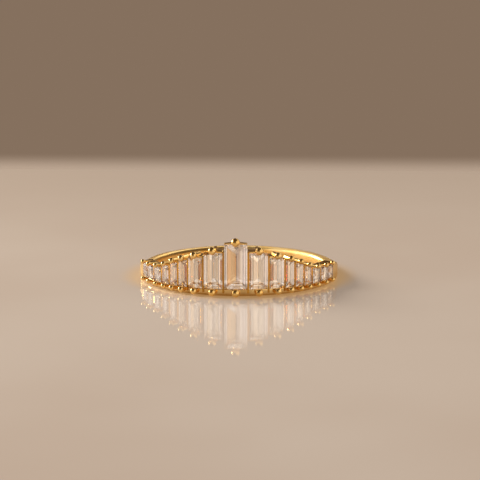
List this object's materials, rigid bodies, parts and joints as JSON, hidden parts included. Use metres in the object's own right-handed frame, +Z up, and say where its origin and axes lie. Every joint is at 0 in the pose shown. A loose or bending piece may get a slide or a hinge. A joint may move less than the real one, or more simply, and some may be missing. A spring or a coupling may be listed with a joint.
{
  "type": "baguette diamond ring",
  "caption": "Thin gold finger ring with a tiara-shaped row of graduated upright baguette stones, each held by a ball prong at both ends.",
  "frame": {"origin": "on the axis of the finger hole, in the plane of the ring's lower edge, which lies on the floor", "axes": "+Z up along the finger hole's axis, -Y from the axis towards the centre stone, +X to the right seen from the front"},
  "size_m": [0.0186, 0.0193, 0.0055],
  "materials": {
    "gold": "mirror-polished yellow gold",
    "diamond": "polished facets, colourless"
  },
  "bodies": {
    "root": {"ring_mount": "gold", "stone_centre": "diamond", "stone_left_1": "diamond", "stone_left_2": "diamond", "stone_left_3": "diamond", "stone_left_4": "diamond", "stone_left_5": "diamond", "stone_left_6": "diamond", "stone_left_7": "diamond", "stone_left_8": "diamond", "stone_right_1": "diamond", "stone_right_2": "diamond", "stone_right_3": "diamond", "stone_right_4": "diamond", "stone_right_5": "diamond", "stone_right_6": "diamond", "stone_right_7": "diamond", "stone_right_8": "diamond"}
  },
  "joints": []
}
